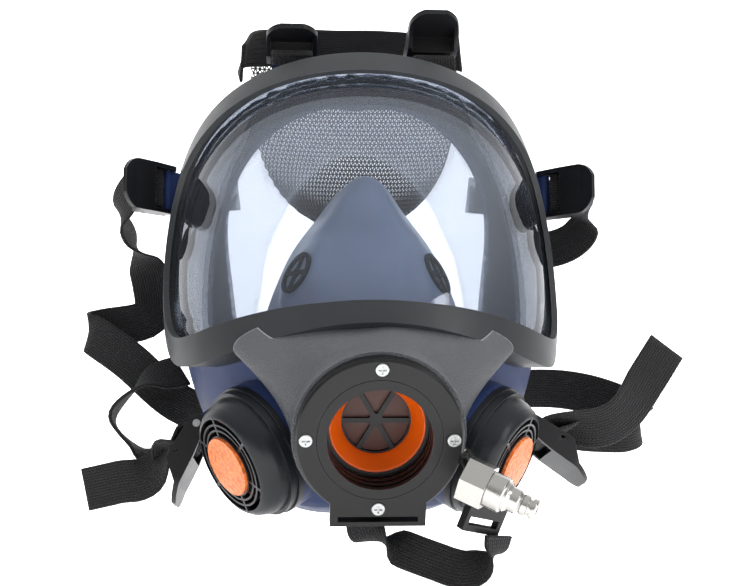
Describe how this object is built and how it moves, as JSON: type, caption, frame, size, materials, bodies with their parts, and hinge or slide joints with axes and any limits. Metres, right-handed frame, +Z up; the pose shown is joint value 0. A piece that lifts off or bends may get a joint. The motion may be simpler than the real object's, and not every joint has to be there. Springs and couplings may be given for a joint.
{
  "type": "full face respirator",
  "caption": "Full face respirator mask with a wide curved visor, a threaded filter port, cheek exhalation valves, an air-line coupling and a strap harness.",
  "frame": {"origin": "centre of the filter port's mouth, on the port's axis", "axes": "+Z up as worn, the wearer looks along -Y, +X is the wearer's left"},
  "size_m": [0.2558, 0.1709, 0.2349],
  "materials": {
    "visor": "clear moulded polycarbonate, gloss",
    "frame": "charcoal satin, fine moulded grain",
    "housing": "charcoal, pebble grain",
    "face_rubber": "dark blue moulded rubber",
    "cup_rubber": "translucent blue-grey silicone",
    "black_plastic": "black satin",
    "port_body": "dark grey satin",
    "orange_plastic": "saturated orange, semi-gloss",
    "badge": "orange, dimpled",
    "flap_rubber": "thin red-brown rubber",
    "buckle_plastic": "black satin",
    "screw_steel": "zinc plated",
    "coupling_metal": "nickel plated",
    "ring_rubber": "black rubber",
    "webbing": "black knitted elastic webbing",
    "net": "black open net"
  },
  "bodies": {
    "face_piece": {"visor": "visor", "visor_frame_upper": "frame", "visor_frame_lower": "frame", "frame_screws": "screw_steel", "face_seal": "face_rubber", "front_housing": "housing", "port_plate": "black_plastic", "plate_screws": "screw_steel", "port_thread_ring": "black_plastic", "port_body": "port_body", "port_gasket": "ring_rubber", "inhalation_seat": "orange_plastic", "inhalation_spider": "black_plastic", "nose_cup": "cup_rubber", "air_inlet_elbow": "coupling_metal", "harness_band": "webbing", "harness_net": "net", "neck_strap": "webbing", "neck_strap_adjuster": "buckle_plastic", "buckle_pins": "screw_steel", "exhalation_badge_left": "badge", "exhalation_cover_left": "black_plastic", "exhalation_seat_left": "black_plastic", "check_valve_seat_left": "black_plastic", "strap_lug_top_left": "face_rubber", "strap_top_left": "webbing", "strap_lug_temple_left": "face_rubber", "strap_temple_left": "webbing", "strap_lug_lower_left": "face_rubber", "strap_lower_left": "webbing", "exhalation_badge_right": "badge", "exhalation_cover_right": "black_plastic", "exhalation_seat_right": "black_plastic", "check_valve_seat_right": "black_plastic", "strap_lug_top_right": "face_rubber", "strap_top_right": "webbing", "strap_lug_temple_right": "face_rubber", "strap_temple_right": "webbing", "strap_lug_lower_right": "face_rubber", "strap_lower_right": "webbing"},
    "inhalation_flap": {"inhalation_flap": "flap_rubber"},
    "exhalation_flap_left": {"exhalation_flap_left": "flap_rubber"},
    "check_valve_flap_left": {"check_valve_flap_left": "cup_rubber"},
    "buckle_top_left": {"buckle_top_left": "buckle_plastic"},
    "buckle_temple_left": {"buckle_temple_left": "buckle_plastic"},
    "buckle_lower_left": {"buckle_lower_left": "buckle_plastic"},
    "exhalation_flap_right": {"exhalation_flap_right": "flap_rubber"},
    "check_valve_flap_right": {"check_valve_flap_right": "cup_rubber"},
    "buckle_top_right": {"buckle_top_right": "buckle_plastic"},
    "buckle_temple_right": {"buckle_temple_right": "buckle_plastic"},
    "buckle_lower_right": {"buckle_lower_right": "buckle_plastic"},
    "nipple": {"coupling_nipple": "coupling_metal", "nipple_seal": "ring_rubber"}
  },
  "joints": [
    {"name": "inhalation_lift", "type": "slide", "parent": "face_piece", "child": "inhalation_flap", "axis": [0, 0.9397, 0.342], "range_m": [0, 0.0025]},
    {"name": "exhalation_lift_left", "type": "slide", "parent": "face_piece", "child": "exhalation_flap_left", "axis": [0.7812, -0.4747, -0.4054], "range_m": [0, 0.002]},
    {"name": "check_lift_left", "type": "slide", "parent": "face_piece", "child": "check_valve_flap_left", "axis": [-0.8029, 0.4215, -0.4215], "range_m": [0, 0.0015]},
    {"name": "buckle_pivot_top_left", "type": "hinge", "parent": "face_piece", "child": "buckle_top_left", "pos_m": [0.03, 0.103, 0.163], "axis": [1, 0, 0], "range_deg": [-45, 15], "deforming": ["strap_top_left"]},
    {"name": "buckle_pivot_temple_left", "type": "hinge", "parent": "face_piece", "child": "buckle_temple_left", "pos_m": [0.0835, 0.114, 0.1045], "axis": [0, 0, 1], "range_deg": [-20, 35], "deforming": ["strap_temple_left"]},
    {"name": "buckle_pivot_lower_left", "type": "hinge", "parent": "face_piece", "child": "buckle_lower_left", "pos_m": [0.066, 0.074, 0.002], "axis": [0.06, -0.9664, 0.2499], "range_deg": [-25, 25], "deforming": ["strap_lower_left"]},
    {"name": "exhalation_lift_right", "type": "slide", "parent": "face_piece", "child": "exhalation_flap_right", "axis": [-0.7812, -0.4747, -0.4054], "range_m": [0, 0.002]},
    {"name": "check_lift_right", "type": "slide", "parent": "face_piece", "child": "check_valve_flap_right", "axis": [0.8029, 0.4215, -0.4215], "range_m": [0, 0.0015]},
    {"name": "buckle_pivot_top_right", "type": "hinge", "parent": "face_piece", "child": "buckle_top_right", "pos_m": [-0.03, 0.103, 0.163], "axis": [1, 0, 0], "range_deg": [-45, 5], "deforming": ["strap_top_right"]},
    {"name": "buckle_pivot_temple_right", "type": "hinge", "parent": "face_piece", "child": "buckle_temple_right", "pos_m": [-0.0835, 0.114, 0.1045], "axis": [0, 0, -1], "range_deg": [-20, 35], "deforming": ["strap_temple_right"]},
    {"name": "buckle_pivot_lower_right", "type": "hinge", "parent": "face_piece", "child": "buckle_lower_right", "pos_m": [-0.066, 0.074, 0.002], "axis": [0.06, 0.9664, -0.2499], "range_deg": [-25, 25], "deforming": ["strap_lower_right"]},
    {"name": "nipple_swivel", "type": "hinge", "parent": "face_piece", "child": "nipple", "pos_m": [0.0316, -0.0092, -0.0137], "axis": [0.8564, -0.3286, -0.3983], "continuous": true}
  ]
}
